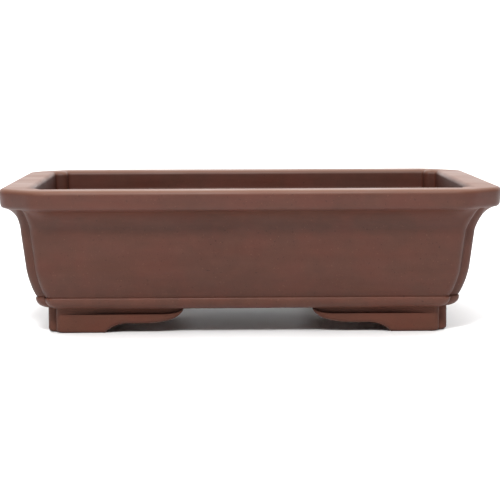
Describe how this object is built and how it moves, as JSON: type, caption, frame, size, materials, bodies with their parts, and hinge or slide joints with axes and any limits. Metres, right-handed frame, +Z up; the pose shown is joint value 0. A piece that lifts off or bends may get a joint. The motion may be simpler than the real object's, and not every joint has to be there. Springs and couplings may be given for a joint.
{
  "type": "rectangular bonsai pot",
  "caption": "Shallow rectangular unglazed clay bonsai pot with a broad cut-corner lip, coved walls with indented corners, a rounded base moulding and scroll feet.",
  "frame": {"origin": "on the surface that the pot stands on, under its middle", "axes": "+X along the long side, -Y the front, +Z up"},
  "size_m": [0.36, 0.262, 0.1052],
  "materials": {
    "lip_clay": "unglazed, burnished to a soft sheen",
    "wall_clay": "unglazed, burnished, with fine pale and dark grog specks",
    "moulding_clay": "unglazed, smoothed",
    "floor_clay": "unglazed, matt, coarser inside",
    "foot_clay": "unglazed, smoothed"
  },
  "bodies": {
    "root": {"floor_slab": "floor_clay", "base_moulding_front": "moulding_clay", "wall_front": "wall_clay", "lip_front": "lip_clay", "base_moulding_right": "moulding_clay", "wall_right": "wall_clay", "lip_right": "lip_clay", "base_moulding_back": "moulding_clay", "wall_back": "wall_clay", "lip_back": "lip_clay", "base_moulding_left": "moulding_clay", "wall_left": "wall_clay", "lip_left": "lip_clay", "corner_post_front_left": "wall_clay", "foot_front_left_front_bracket": "foot_clay", "foot_front_left_side_bracket": "foot_clay", "corner_post_front_right": "wall_clay", "foot_front_right_front_bracket": "foot_clay", "foot_front_right_side_bracket": "foot_clay", "corner_post_back_right": "wall_clay", "foot_back_right_front_bracket": "foot_clay", "foot_back_right_side_bracket": "foot_clay", "corner_post_back_left": "wall_clay", "foot_back_left_front_bracket": "foot_clay", "foot_back_left_side_bracket": "foot_clay"}
  },
  "joints": []
}
